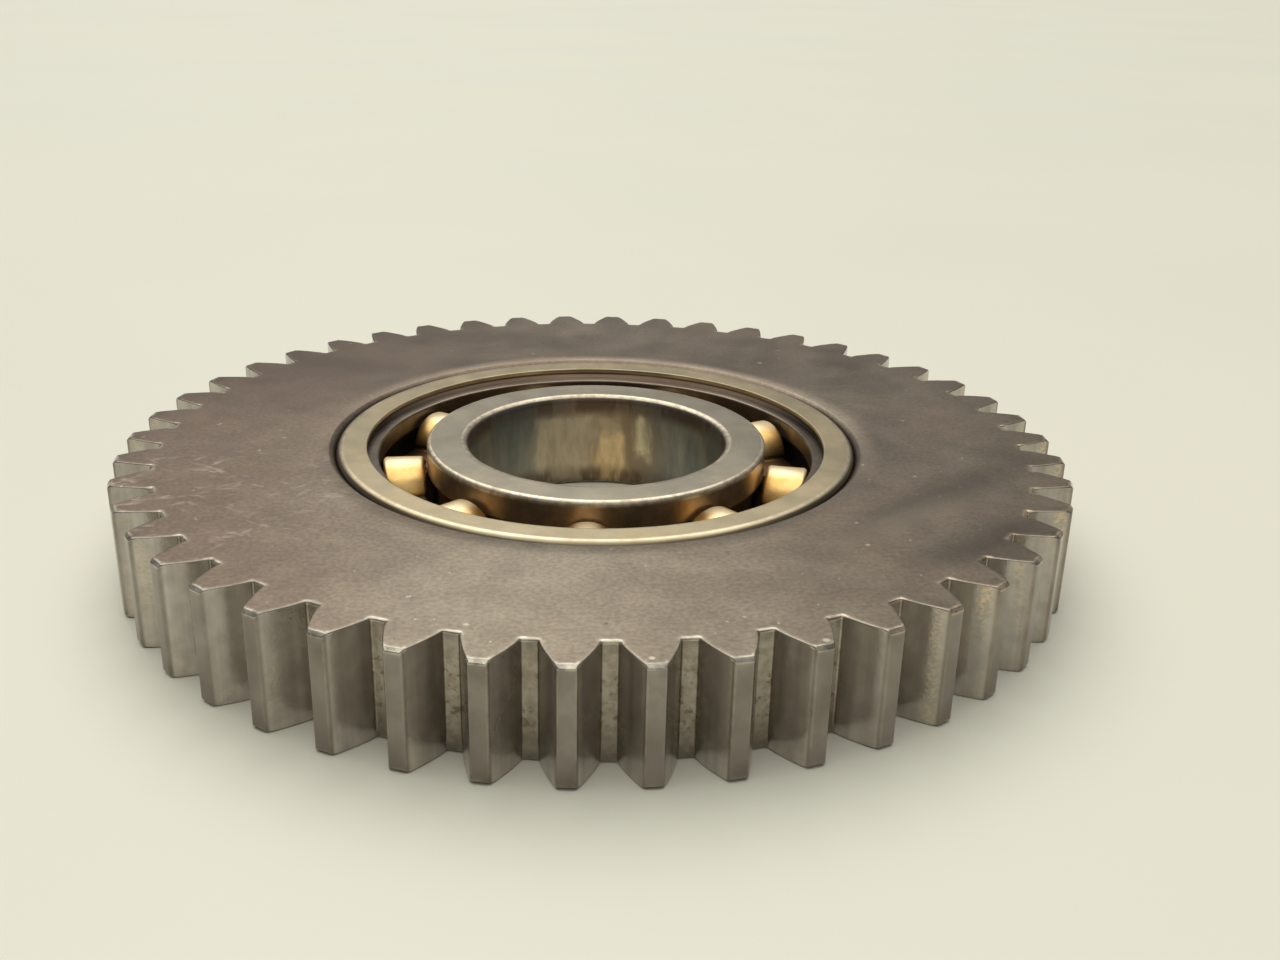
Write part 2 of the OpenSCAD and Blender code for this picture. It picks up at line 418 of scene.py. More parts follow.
def build_outer_ring(material):
    """The outer ring: raceway, shoulder, empty seal groove, flat face and round corner."""
    arc = race_arc(OUTER_RACE_R - GROOVE_R, OUTER_SHOULDER_R, 1)
    step = HALF_WIDTH - RECESS_DEPTH
    groove_r = RECESS_R + SEAL_GROOVE_DEPTH
    corners = [
        (OUTER_SHOULDER_R, step, 0.25),
        (groove_r, step, 0.1),
        (groove_r, HALF_WIDTH - SEAL_LIP - SEAL_GROOVE_DEPTH, 0.1),
        (RECESS_R, HALF_WIDTH - SEAL_LIP, 0.08),
        (RECESS_R, HALF_WIDTH, 0.14),
        (GEAR_BORE_R, HALF_WIDTH, RING_CORNER),
    ]
    grid = ring_points(corners, arc)
    closed_piece("bearing_outer_ring", grid, "gear", ["outer_ring"], material)


def build_inner_ring(material):
    """The inner ring: raceway, shoulder, flat face and the round corner of the shaft's bore."""
    arc = race_arc(INNER_RACE_R + GROOVE_R, INNER_SHOULDER_R, -1)
    corners = [
        (INNER_SHOULDER_R, HALF_WIDTH, LAND_CHAMFER),
        (SHAFT_R, HALF_WIDTH, RING_CORNER),
    ]
    grid = ring_points(corners, arc)
    closed_piece("bearing_inner_ring", grid, "inner_ring", ["inner_ring"], material)


# Cage, rivets and balls

def pocket_path(sphere_r, bend_r, bend_height, offset):
    """Half of a pressed pocket, from crown to web, for each offset from the circle of the balls.

    The pocket is a sphere of sphere_r, cut at the offset into a circle. A bend of bend_r, whose centre is
    bend_height above the parting plane, leads it into the web. Returns distances from the crown and heights.
    """
    crown = np.sqrt(sphere_r ** 2 - offset ** 2)
    bend_out = np.sqrt((crown + bend_r) ** 2 - bend_height ** 2)
    touch = np.arctan2(bend_out, bend_height)
    on_pocket = np.linspace(0, 1, POCKET_POINTS)[:, None] * touch
    on_bend = touch + np.linspace(0, 1, BEND_POINTS)[1:, None] * -touch
    away = np.concatenate([crown * np.sin(on_pocket), bend_out - bend_r * np.sin(on_bend)])
    height = np.concatenate([crown * np.cos(on_pocket), bend_height - bend_r * np.cos(on_bend)])
    return away, height


def cage_half_points():
    """Half of the cage above its parting plane, as rows along the ring and columns round the sheet's section.

    Both faces of the sheet follow pocket_path with bends about the same centres, so the sheet keeps its
    thickness. The section is the ribbon's width by the sheet, with round edges.
    """
    inner_r = INNER_SHOULDER_R + CAGE_CLEARANCE
    outer_r = OUTER_SHOULDER_R - CAGE_CLEARANCE
    section = soften([
        (inner_r, 0, SHEET_EDGE),
        (outer_r, 0, SHEET_EDGE),
        (outer_r, CAGE_SHEET, SHEET_EDGE),
        (inner_r, CAGE_SHEET, SHEET_EDGE),
    ])
    r = section[:, 0]
    share = section[:, 1] / CAGE_SHEET
    offset = r - BALL_CIRCLE_R
    pocket_r = BALL_R + POCKET_CLEARANCE
    bend_height = CAGE_SHEET + POCKET_BEND
    low_away, low_height = pocket_path(pocket_r, CAGE_SHEET + POCKET_BEND, bend_height, offset)
    top_away, top_height = pocket_path(pocket_r + CAGE_SHEET, POCKET_BEND, bend_height, offset)
    away = low_away + (top_away - low_away) * share
    height = low_height + (top_height - low_height) * share

    angle = 2 * np.arcsin(away / (2 * np.sqrt(r * BALL_CIRCLE_R)))
    web = np.linspace(0, 1, WEB_POINTS)[1:, None]
    angle = np.concatenate([angle, angle[-1] + (BALL_STEP / 2 - angle[-1]) * web])
    height = np.concatenate([height, np.broadcast_to(height[-1], (len(web), len(r)))])
    angle = np.concatenate([-angle[:0:-1], angle[:-1]])
    height = np.concatenate([height[:0:-1], height[:-1]])

    turns = FIRST_BALL + np.arange(len(BALLS))[:, None, None] * BALL_STEP
    angle = (turns + angle).reshape(-1, len(r))
    height = np.tile(height, (len(BALLS), 1))
    return np.stack([r * np.cos(angle), r * np.sin(angle), height], -1)


def build_cage(material):
    """The two halves of the cage, one the mirror image of the other under the parting plane."""
    half = cage_half_points()
    for name, node, side in (("cage_half_upper", "cage_upper", 1), ("cage_half_lower", "cage_lower", -1)):
        grid = half * [1, 1, side] + [0, 0, MIDDLE]
        closed_piece(name, grid, "cage", [node], material)


def capped(profile, steps):
    """A surface turned from an open outline that starts and ends on the axis, with one point at each pole."""
    ring = revolved(profile[1:-1], steps)
    quads = grid_faces(*ring.shape[:2], wrap_rows=False)
    ends = np.stack([[0.0, 0.0, profile[0, 1]], [0.0, 0.0, profile[-1, 1]]])
    points = np.concatenate([ring.reshape(-1, 3), ends])
    here = np.arange(steps)
    after = (here + 1) % steps
    last = len(points) - 2 - steps
    first_pole = np.stack([np.full(steps, len(points) - 2), after, here], -1)
    last_pole = np.stack([np.full(steps, len(points) - 1), last + here, last + after], -1)
    return points, quads, np.concatenate([first_pole, last_pole])


def build_rivets(material):
    """The rivets between the pockets: a turned shank with a domed head at each end, set round the ring."""
    head_r = RIVET_HEAD / 2
    dome_r = (head_r ** 2 + RIVET_HEAD_HEIGHT ** 2) / (2 * RIVET_HEAD_HEIGHT)
    reach = math.asin(head_r / dome_r)
    sweep = np.linspace(0, reach, DOME_POINTS)
    dome_height = CAGE_SHEET + RIVET_HEAD_HEIGHT - dome_r * (1 - np.cos(sweep))
    dome = np.stack([dome_r * np.sin(sweep), dome_height], -1)
    under = np.array([[RIVET_DIAMETER / 2, CAGE_SHEET]])
    upper = np.concatenate([dome, under])
    profile = np.concatenate([upper, upper[::-1] * [1, -1]])
    one, quads, tris = capped(profile[::-1], RIVET_SIDES)
    angle = FIRST_BALL + (np.arange(len(BALLS)) + 0.5) * BALL_STEP
    places = np.column_stack([polar(BALL_CIRCLE_R, angle), np.full(len(angle), MIDDLE)])
    points = (places[:, None] + one[None]).reshape(-1, 3)
    shift = (np.arange(len(BALLS)) * len(one))[:, None, None]
    faces = (quads[None] + shift).reshape(-1, 4).tolist() + (tris[None] + shift).reshape(-1, 3).tolist()
    piece("cage_rivet_set", points, faces, "cage", ["cage_rivets"], material)


def build_balls(material):
    """The balls: a half circle turned about each ball's own upright axis."""
    sweep = np.linspace(0, math.pi, BALL_POINTS)
    profile = np.stack([BALL_R * np.sin(sweep), -BALL_R * np.cos(sweep)], -1)
    one, quads, tris = capped(profile, BALL_SIDES)
    faces = quads.tolist() + tris.tolist()
    for name, centre in zip(BALLS, ball_centres):
        piece(f"{name}_polished", one + centre, faces, name, [name], material)


# Material helpers

def new_material(name):
    """An empty node material, with its tree, its shader and its object coordinates."""
    made = bpy.data.materials.new(name)
    made.use_nodes = True
    tree = made.node_tree
    shader = tree.nodes["Principled BSDF"]
    place = tree.nodes.new("ShaderNodeTexCoord").outputs["Object"]
    return made, tree, shader, place


def add(tree, kind, inputs, **settings):
    """A node of a kind with its settings, and with values or links on its inputs."""
    made = tree.nodes.new(kind)
    for name, value in settings.items():
        setattr(made, name, value)
    for key, value in inputs.items():
        if isinstance(value, bpy.types.NodeSocket):
            tree.links.new(value, made.inputs[key])
        else:
            made.inputs[key].default_value = value
    return made


def noise(tree, place, scale, detail=4.0, roughness=0.55):
    """Cloud noise with about scale bumps a metre."""
    inputs = {"Vector": place, "Scale": scale, "Detail": detail, "Roughness": roughness}
    return add(tree, "ShaderNodeTexNoise", inputs).outputs["Fac"]


def laid(tree, place, centre=(0, 0, 0), angle=0.0, stretch=(1, 1, 1)):
    """Coordinates about a centre in millimetres, on axes turned by an angle about Z, divided by a stretch."""
    inputs = {
        "Vector": place,
        "Location": [c * MM for c in centre],
        "Rotation": (0, 0, angle),
        "Scale": stretch,
    }
    return add(tree, "ShaderNodeMapping", inputs, vector_type="TEXTURE").outputs[0]


def span(tree, value, low, high, to_low=0.0, to_high=1.0):
    """A value carried from one span to another with soft ends, and held at the ends."""
    inputs = {"Value": value, "From Min": low, "From Max": high, "To Min": to_low, "To Max": to_high}
    return add(tree, "ShaderNodeMapRange", inputs, interpolation_type="SMOOTHSTEP").outputs[0]


def within(tree, place, centre, angle, reach, soft=0.6):
    """1 in the middle of a blob, falling to 0 at its reach along its three axes, all in millimetres."""
    inner = laid(tree, place, centre, angle, [r * MM for r in reach])
    away = add(tree, "ShaderNodeVectorMath", {0: inner}, operation="LENGTH").outputs["Value"]
    return span(tree, away, 1.0, 1.0 - soft)


def times(tree, *values):
    """The product of values."""
    product = values[0]
    for value in values[1:]:
        product = add(tree, "ShaderNodeMath", {0: product, 1: value}, operation="MULTIPLY").outputs[0]
    return product


def reckon(tree, operation, *values):
    """One step of arithmetic on values."""
    return add(tree, "ShaderNodeMath", dict(enumerate(values)), operation=operation).outputs[0]


def nicked(tree, place, nicks):
    """1 on small marks, each given as a place and a reach in millimetres."""
    marked = 0.0
    for *centre, reach in nicks:
        spot = within(tree, place, centre, 0.0, (reach, reach, reach))
        marked = reckon(tree, "MAXIMUM", marked, spot)
    return marked


def mixed(tree, share, a, b, blend="MIX"):
    """Two colours mixed by a share."""
    made = add(tree, "ShaderNodeMix", {0: share, 6: a, 7: b}, data_type="RGBA", blend_type=blend)
    return made.outputs[2]


def shaded(tree, colour, value, low, high, to_low, to_high):
    """A colour made darker or lighter by a value."""
    return mixed(tree, 1.0, colour, span(tree, value, low, high, to_low, to_high), "MULTIPLY")


def mark(tree, name):
    """A value that the mesh carries at its points."""
    return add(tree, "ShaderNodeAttribute", {}, attribute_name=name, attribute_type="GEOMETRY").outputs["Fac"]


def bumped(tree, shader, height, distance):
    """A bump on the shader, with its depth in metres."""
    made = add(tree, "ShaderNodeBump", {"Height": height, "Distance": distance})
    tree.links.new(made.outputs["Normal"], shader.inputs["Normal"])


def srgb(r, g, b):
    """A colour given as it looks on screen, from 0 to 255."""
    v = np.array([r, g, b]) / 255
    linear = np.where(v <= 0.04045, v / 12.92, ((v + 0.055) / 1.055) ** 2.4)
    return (*linear.tolist(), 1.0)


def axes(tree, place):
    """The three coordinates, and the distance from the axis."""
    parts = add(tree, "ShaderNodeSeparateXYZ", {0: place}).outputs
    flat = add(tree, "ShaderNodeVectorMath", {0: place, 1: (1, 1, 0)}, operation="MULTIPLY").outputs[0]
    radius = add(tree, "ShaderNodeVectorMath", {0: flat}, operation="LENGTH").outputs["Value"]
    return parts[0], parts[1], parts[2], radius


# Colours as they look on screen
FACE_LIGHT = srgb(153, 142, 124)
FACE_DARK = srgb(141, 128, 111)
FACE_BROWN = srgb(121, 104, 89)
# Oily face colour, dark partly as painted shade
FACE_OIL_AND_SHADE = srgb(102, 86, 70)
# Painted dark reflection
REFLECTION_BAND_DARK = srgb(84, 77, 68)
SMEAR_PALE = srgb(150, 138, 120)
SCUFF = srgb(206, 190, 178)
SPECK = srgb(226, 214, 196)
PIT = srgb(92, 80, 68)
SIDE_DARK = srgb(170, 164, 157)
SIDE_LIGHT = srgb(188, 182, 174)
FOOT_LIGHT = srgb(162, 155, 143)
FOOT_DARK = srgb(142, 133, 119)
RUST = srgb(92, 78, 60)
LAND_LIGHT = srgb(143, 136, 129)
LAND_DARK = srgb(125, 118, 110)
# Colour of the rubbed band, shown as a painted glint
RUBBED_GLINT = srgb(228, 204, 158)
# Colours of the worn edges, bright as a painted highlight
EDGE_HIGHLIGHT_CREAM = srgb(219, 211, 190)
EDGE_HIGHLIGHT_WARM = srgb(224, 201, 168)
NICK_PALE = srgb(236, 224, 204)
NICK_DARK = srgb(60, 50, 42)
# Painted shade in the groove round the gear's bore
GEAR_GROOVE_SHADE = srgb(52, 44, 37)
OUTER_FACE = srgb(193, 178, 144), srgb(177, 161, 128)
# Oil inside the outer ring, dark partly as painted shade of the recess
OUTER_OIL_AND_SHADE = srgb(100, 90, 79), srgb(80, 71, 64)
INNER_FACE = srgb(173, 164, 144), srgb(159, 150, 130)
INNER_OIL = srgb(186, 156, 118), srgb(148, 124, 94)
# Painted light on the recess's step
RING_STEP_PAINTED_LIGHT = srgb(226, 208, 188)
# Painted highlight on the rings' edges
RING_EDGE_HIGHLIGHT = srgb(240, 222, 194)
# Painted shade in the gap round the outer ring
RING_GAP_SHADE = srgb(70, 60, 50)
WALL_DARK = srgb(116, 119, 114)
WALL_LIGHT = srgb(150, 146, 132)
# Painted brown reflection in the bore
WALL_REFLECTION_BROWN = srgb(158, 136, 110)
WALL_GRIME = srgb(92, 72, 56)
BRASS_LIGHT = srgb(238, 198, 128)
BRASS_DARK = srgb(222, 176, 102)
# Painted highlight on the pockets' crowns
BRASS_CROWN_HIGHLIGHT = srgb(255, 236, 194)
# Painted shade on the webs deep between the pockets
BRASS_WEB_SHADE = srgb(52, 38, 26)
BALL_CLEAN = srgb(214, 212, 206)
BALL_OILY = srgb(190, 182, 166)
TABLE_LIGHT = srgb(229, 226, 207)
TABLE_DARK = srgb(226, 224, 206)

# Where finishes change, in metres: radii of the gear
FLANK_RADII = (0.0667, 0.0712)
ROOT_RADII = (0.0667, 0.0664)
TIP_RADII = (0.0714, 0.0718)
RUB_STARTS = (0.0692, 0.0704)
RUB_ENDS = (0.0716, 0.0711)
GEAR_GROOVE_SHADE_RADII = (0.0412, 0.0408)

# Radii of the rings
BORE_RADII = (0.02025, 0.02008)
OIL_STARTS = (0.0225, 0.0235)
OIL_ENDS = (0.0372, 0.0366)
STEP_LIGHT_RADII = (0.0337, 0.034)
RING_GAP_SHADE_RADII = (0.0394, 0.0397)

# Depths of the cage under the bearing's face
CROWN_HIGHLIGHT_DEPTHS = (0.0034, 0.0024)
WEB_SHADE_DEPTHS = (0.006, 0.0068)

# Painted highlights on the rings' edges: radii from and to, in millimetres, and how bright
OUTER_EDGE_HIGHLIGHTS = [(38.95, 39.3, 0.45)]
INNER_EDGE_HIGHLIGHTS = [(20.3, 21.0, 0.5), (25.8, 26.4, 0.8)]

# Painted reflections on the far side of the bore: middle and half size along X and Z in millimetres, and
# colour
BORE_REFLECTIONS = [
    ((-5.0, 6.6), (4.8, 5.4), srgb(198, 183, 158)),
    ((2.6, 9.6), (1.8, 2.6), srgb(194, 174, 142)),
    ((3.1, 4.4), (2.1, 4.2), srgb(240, 209, 158)),
    ((8.5, 8.8), (0.8, 3.0), srgb(236, 222, 182)),
]


# Materials

def below_face(tree, z):
    """How far a point lies under the nearer face, in metres."""
    off = reckon(tree, "ABSOLUTE", reckon(tree, "SUBTRACT", z, MIDDLE * MM))
    return reckon(tree, "SUBTRACT", HALF_WIDTH * MM, off)


def gear_face(tree, place):
    """Colour of the gear's faces, mottled, rubbed on one side and oily with painted shade on the other, and
    the film of oil.
    """
    x, y = axes(tree, place)[:2]
    cloud = span(tree, noise(tree, place, 34, 5, 0.6), 0.35, 0.65)
    face = mixed(tree, cloud, FACE_LIGHT, FACE_DARK)
    face = mixed(tree, span(tree, x, -0.002, -0.06, 0.0, 0.9), face, FACE_BROWN)
    face = shaded(tree, face, noise(tree, place, 170, 4, 0.6), 0.3, 0.7, 0.88, 1.1)
    face = shaded(tree, face, noise(tree, place, 1500, 3), 0.25, 0.75, 0.8, 1.16)

    # An oil film darkens the right and the back of the face; this darkening is partly painted shade.
    drift = noise(tree, place, 28, 3)
    right_oil_and_shade = span(tree, reckon(tree, "MULTIPLY_ADD", drift, 0.05, x), 0.026, 0.07)
    back = span(tree, reckon(tree, "MULTIPLY_ADD", drift, 0.04, y), 0.01, 0.06)
    back = times(tree, back, span(tree, x, 0.01, -0.03, 0.8, 1.0))
    film = reckon(tree, "MAXIMUM", times(tree, right_oil_and_shade, 0.45), back)
    face = mixed(tree, times(tree, film, 0.6), face, FACE_OIL_AND_SHADE)
    along_bands = laid(tree, place, angle=SMEAR_AND_BAND_ANGLE, stretch=(9, 1, 1))
    band_streaks = span(tree, noise(tree, along_bands, 120, 3), 0.3, 0.65, 0.5, 1.0)
    # Painted dark reflections: diagonal dark bands on the right of the face.
    for centre, reach in DARK_REFLECTION_BANDS:
        dark_reflection = times(tree, within(tree, place, centre, SMEAR_AND_BAND_ANGLE, reach, 0.8), band_streaks)
        face = mixed(tree, times(tree, dark_reflection, 0.55), face, REFLECTION_BAND_DARK)
    wiped_clean = within(tree, place, PALE_SMEAR_AT, SMEAR_AND_BAND_ANGLE, PALE_SMEAR_REACH, 0.9)
    face = mixed(tree, times(tree, wiped_clean, 0.4), face, SMEAR_PALE)

    rubbed = within(tree, place, RUB_AT, 0.0, RUB_REACH)
    broken = span(tree, noise(tree, laid(tree, place, (2, 5, 0)), 110, 3), 0.42, 0.62)
    strokes = 0.0
    for angle, shift in RUB_STROKES:
        along = laid(tree, place, (shift, 0, 0), angle, (2.6, 1, 1))
        stroke = span(tree, noise(tree, along, 560, 4), 0.57, 0.72)
        strokes = reckon(tree, "MAXIMUM", strokes, stroke)
    face = mixed(tree, times(tree, rubbed, broken, strokes, 0.5), face, SCUFF)
    specks = span(tree, noise(tree, place, 700, 2), 0.72, 0.78)
    face = mixed(tree, times(tree, specks, 0.5), face, SPECK)
    pits = span(tree, noise(tree, laid(tree, place, (7, 3, 0)), 620, 3), 0.3, 0.24)
    face = mixed(tree, times(tree, pits, 0.6), face, PIT)
    # Painted shade: the right of the face a little darker.
    face = shaded(tree, face, x, 0.015, 0.05, 1.0, 0.95)
    return face, film


def gear_side(tree, place):
    """Colour of the teeth's sides, and how far they are rubbed.

    Flanks are streaked, with painted light low down, painted shade on the right and towards the tips, and a
    rubbed band near their tops that is painted brighter as a glint at the wheel's sides. Tips are smooth and
    roots have rust spots.
    """
    x, _, z, radius = axes(tree, place)
    lines = span(tree, noise(tree, laid(tree, place, stretch=(1, 1, 30)), 700, 3), 0.32, 0.68)
    side = mixed(tree, lines, SIDE_DARK, SIDE_LIGHT)
    # Painted light and shade: a little darker towards the tips, lighter low down as light from the table,
    # darker on the right.
    side = shaded(tree, side, radius, *FLANK_RADII, 0.96, 0.94)
    side = shaded(tree, side, z, 0.0015, 0.006, 1.2, 1.0)
    side = shaded(tree, side, x, 0.025, 0.05, 1.0, 0.88)
    side = shaded(tree, side, noise(tree, place, 420, 4), 0.3, 0.7, 0.9, 1.1)

    below = below_face(tree, z)
    blotch = span(tree, noise(tree, place, 800, 4, 0.6), 0.36, 0.66)
    foot = mixed(tree, blotch, FOOT_LIGHT, FOOT_DARK)
    rust = span(tree, noise(tree, laid(tree, place, (3, 11, 5)), 1100, 4), 0.46, 0.36)
    foot = mixed(tree, times(tree, rust, span(tree, below, 0.0015, 0.006), 0.65), foot, RUST)
    foot = shaded(tree, foot, below, 0.0006, 0.002, 0.84, 1.02)
    side = mixed(tree, span(tree, radius, *ROOT_RADII), side, foot)

    cloud = span(tree, noise(tree, place, 150, 4), 0.35, 0.65)
    land = mixed(tree, cloud, LAND_LIGHT, LAND_DARK)
    land = shaded(tree, land, noise(tree, place, 600, 3), 0.3, 0.7, 0.9, 1.1)
    side = mixed(tree, span(tree, radius, *TIP_RADII), side, land)

    # The rubbed band is real wear, kept to the teeth at the sides and made brighter to the right as a painted
    # glint.
    outer = span(tree, reckon(tree, "ABSOLUTE", x), 0.02, 0.045, 0.12, 1.0)
    band = times(tree, span(tree, radius, *RUB_STARTS), span(tree, radius, *RUB_ENDS), outer)
    grain = noise(tree, laid(tree, place, stretch=(1.5, 1.5, 1)), 2600, 4)
    patch = noise(tree, laid(tree, place, (2, 9, 4), 0.0, (1, 1, 2)), 130, 2)
    rub = times(tree, band, span(tree, grain, 0.4, 0.66), span(tree, patch, 0.4, 0.62))
    rub_and_glint = times(tree, rub, span(tree, x, -0.02, 0.02, 0.3, 0.65))
    return mixed(tree, rub_and_glint, side, RUBBED_GLINT), rub


def gear_steel():
    """Worn gear steel: brown-grey faces, streaked flanks, rubbed edges with a painted highlight, painted
    shade round the bore.
    """
    made, tree, shader, place = new_material("worn_gear_steel")
    x, _, z, radius = axes(tree, place)
    face, film = gear_face(tree, place)
    side, rub = gear_side(tree, place)
    flank = mark(tree, "flank")
    colour = mixed(tree, flank, face, side)
    # Worn edges: bare metal, made brighter and less metallic as a painted highlight on the chamfers and tip
    # corners.
    patchy = span(tree, noise(tree, place, 500, 3), 0.36, 0.6, 0.25, 1.0)
    worn = times(tree, mark(tree, "edge"), patchy)
    bright = mixed(tree, span(tree, x, 0.01, 0.05), EDGE_HIGHLIGHT_CREAM, EDGE_HIGHLIGHT_WARM)
    colour = mixed(tree, times(tree, worn, 0.8), colour, bright)
    # Painted shade in the groove between the bore's chamfer and the bearing.
    deep = span(tree, below_face(tree, z), 0.0003, 0.0008)
    groove_shade = times(tree, span(tree, radius, *GEAR_GROOVE_SHADE_RADII), deep)
    colour = mixed(tree, times(tree, groove_shade, 0.9), colour, GEAR_GROOVE_SHADE)
    colour = mixed(tree, times(tree, nicked(tree, place, PALE_NICKS), 0.5), colour, NICK_PALE)
    colour = mixed(tree, times(tree, nicked(tree, place, DARK_NICKS), 0.85), colour, NICK_DARK)
    tree.links.new(colour, shader.inputs["Base Color"])

    tree.links.new(span(tree, worn, 0, 1, 0.95, 0.75), shader.inputs["Metallic"])
    rough = span(tree, noise(tree, place, 60, 5), 0.3, 0.7, 0.38, 0.48)
    rough = reckon(tree, "SUBTRACT", rough, times(tree, film, 0.08))
    rough = reckon(tree, "SUBTRACT", rough, times(tree, flank, 0.19))
    rough = reckon(tree, "SUBTRACT", rough, times(tree, reckon(tree, "MAXIMUM", worn, rub), 0.1))
    tree.links.new(rough, shader.inputs["Roughness"])
    bumped(tree, shader, noise(tree, place, 1500, 4), 0.000014)
    return made


def bore_wall(tree, place, below):
    """Colour of the shaft's bore: streaked slate painted lighter on the right, brown dirt, painted
    reflections at the back.
    """
    x, y, z = axes(tree, place)[:3]
    upright = laid(tree, place, stretch=(1, 1, 4))
    streaks = span(tree, noise(tree, upright, 230, 4, 0.6), 0.38, 0.66)
    wall = mixed(tree, streaks, WALL_DARK, WALL_LIGHT)
    # Painted light: the right of the bore lighter.
    wall = shaded(tree, wall, x, 0.004, 0.014, 1.0, 1.2)
    # Painted reflections on the far side: a brown patch, then pale, ragged streaks.
    far = span(tree, y, 0.004, 0.014)
    brown = within(tree, place, (1, 20, 8), 0.0, (14, 30, 14))
    wall = mixed(tree, times(tree, far, brown), wall, WALL_REFLECTION_BROWN)
    sideways = reckon(tree, "MULTIPLY_ADD", noise(tree, upright, 500, 3), 0.004, -0.002)
    upwards = reckon(tree, "MULTIPLY_ADD", noise(tree, place, 420, 3), 0.006, -0.003)
    faded = span(tree, noise(tree, laid(tree, place, stretch=(1, 1, 3)), 600, 3), 0.3, 0.62, 0.5, 0.95)
    ragged_x = reckon(tree, "ADD", x, sideways)
    ragged_z = reckon(tree, "ADD", z, upwards)
    for (at_x, at_z), (half_x, half_z), colour in BORE_REFLECTIONS:
        off_x = reckon(tree, "ABSOLUTE", reckon(tree, "SUBTRACT", ragged_x, at_x * MM))
        off_z = reckon(tree, "ABSOLUTE", reckon(tree, "SUBTRACT", ragged_z, at_z * MM))
        across = span(tree, off_x, (half_x + 1.2) * MM, (half_x - 0.6) * MM)
        along = span(tree, off_z, (half_z + 2.0) * MM, (half_z - 1.2) * MM)
        wall = mixed(tree, times(tree, far, across, along, faded), wall, colour)
    grimy = span(tree, streaks, 0.2, 0.7, 0.5, 1.0)
    grimy = times(tree, span(tree, below, 0.0042, 0.0018), grimy, 0.8)
    return mixed(tree, grimy, wall, WALL_GRIME)


def ring_steel(name, light, dark, oil_light, oil_dark, edge_highlights):
    """Ground bearing steel: fine rings about the axis, dull oil inside, painted highlights on the corners and
    a bore with dirt and painted reflections. Painted shade darkens the sides and back, part of the outer
    ring's oil and the gap at its outer corner; painted light brightens the recess's step at the back.

    Each edge highlight is a band of radii close to a face, and how bright it is.
    """
    made, tree, shader, place = new_material(name)
    _, y, z, radius = axes(tree, place)
    rings = add(tree, "ShaderNodeCombineXYZ", {0: radius}).outputs[0]
    lines = noise(tree, rings, 7000, 3)
    film = span(tree, noise(tree, place, 90, 4), 0.35, 0.7)
    colour = mixed(tree, film, light, dark)
    # Painted shade: lighter at the front, darker at the sides and the back.
    colour = shaded(tree, colour, y, -0.026, -0.002, 1.02, 0.82)
    colour = shaded(tree, colour, lines, 0.3, 0.7, 0.9, 1.07)
    colour = shaded(tree, colour, noise(tree, place, 260, 4), 0.3, 0.7, 0.9, 1.08)

    below = below_face(tree, z)
    # Oil film inside the bearing; on the outer ring its dark colour is partly painted shade of the recess.
    between = times(tree, span(tree, radius, *OIL_STARTS), span(tree, radius, *OIL_ENDS))
    between = times(tree, between, span(tree, below, 0.0006, 0.0009))
    oil = mixed(tree, film, oil_light, oil_dark)
    oil = shaded(tree, oil, noise(tree, place, 320, 4), 0.3, 0.7, 0.75, 1.2)
    # Painted light: the recess's step at the back of the outer ring made pale.
    step = times(tree, span(tree, below, 0.0021, 0.0018), span(tree, below, 0.001, 0.0013))
    step = times(tree, step, span(tree, radius, *STEP_LIGHT_RADII), span(tree, y, 0.005, 0.03))
    oil = mixed(tree, times(tree, step, 0.85), oil, RING_STEP_PAINTED_LIGHT)
    colour = mixed(tree, times(tree, between, 0.95), colour, oil)
    colour = mixed(tree, span(tree, radius, *BORE_RADII), colour, bore_wall(tree, place, below))

    # Painted highlights along the rings' corners.
    grit = span(tree, noise(tree, place, 900, 3), 0.36, 0.6, 0.35, 1.0)
    near_face = span(tree, below, 0.0011, 0.0007)
    for low, high, share in edge_highlights:
        starts = span(tree, radius, (low - 0.1) * MM, low * MM)
        ends = span(tree, radius, (high + 0.1) * MM, high * MM)
        colour = mixed(tree, times(tree, starts, ends, near_face, grit, share), colour, RING_EDGE_HIGHLIGHT)
    # Painted shade in the gap between the outer ring's corner and the gear, weaker at the front.
    groove_shade = span(tree, radius, *RING_GAP_SHADE_RADII, 0.0, 0.85)
    groove_shade = times(tree, groove_shade, span(tree, y, -0.038, -0.026, 0.5, 1.0))
    colour = mixed(tree, groove_shade, colour, RING_GAP_SHADE)
    tree.links.new(colour, shader.inputs["Base Color"])
    shader.inputs["Metallic"].default_value = 0.85
    tree.links.new(span(tree, film, 0, 1, 0.34, 0.46), shader.inputs["Roughness"])
    bumped(tree, shader, lines, 0.000005)
    return made


def cage_brass():
    """Pressed sheet brass, smooth, with a pale painted highlight on the pockets' crowns and painted black
    shade on the webs.
    """
    made, tree, shader, place = new_material("pressed_cage_brass")
    below = below_face(tree, axes(tree, place)[2])
    film = span(tree, noise(tree, place, 180, 4), 0.35, 0.7)
    colour = mixed(tree, film, BRASS_LIGHT, BRASS_DARK)
    colour = shaded(tree, colour, noise(tree, place, 1400, 3), 0.3, 0.7, 0.95, 1.04)
    # Painted highlight: the pockets' crowns pale and less metallic, so they look lit from every side.
    crown = span(tree, below, *CROWN_HIGHLIGHT_DEPTHS)
    colour = mixed(tree, times(tree, crown, 0.85), colour, BRASS_CROWN_HIGHLIGHT)
    # Painted shade: the webs deep between the pockets turn nearly black.
    colour = mixed(tree, span(tree, below, *WEB_SHADE_DEPTHS, 0.0, 0.92), colour, BRASS_WEB_SHADE)
    tree.links.new(colour, shader.inputs["Base Color"])
    tree.links.new(span(tree, crown, 0, 1, 1.0, 0.45), shader.inputs["Metallic"])
    tree.links.new(span(tree, film, 0, 1, 0.32, 0.4), shader.inputs["Roughness"])
    bumped(tree, shader, noise(tree, place, 700, 2), 0.000004)
    return made


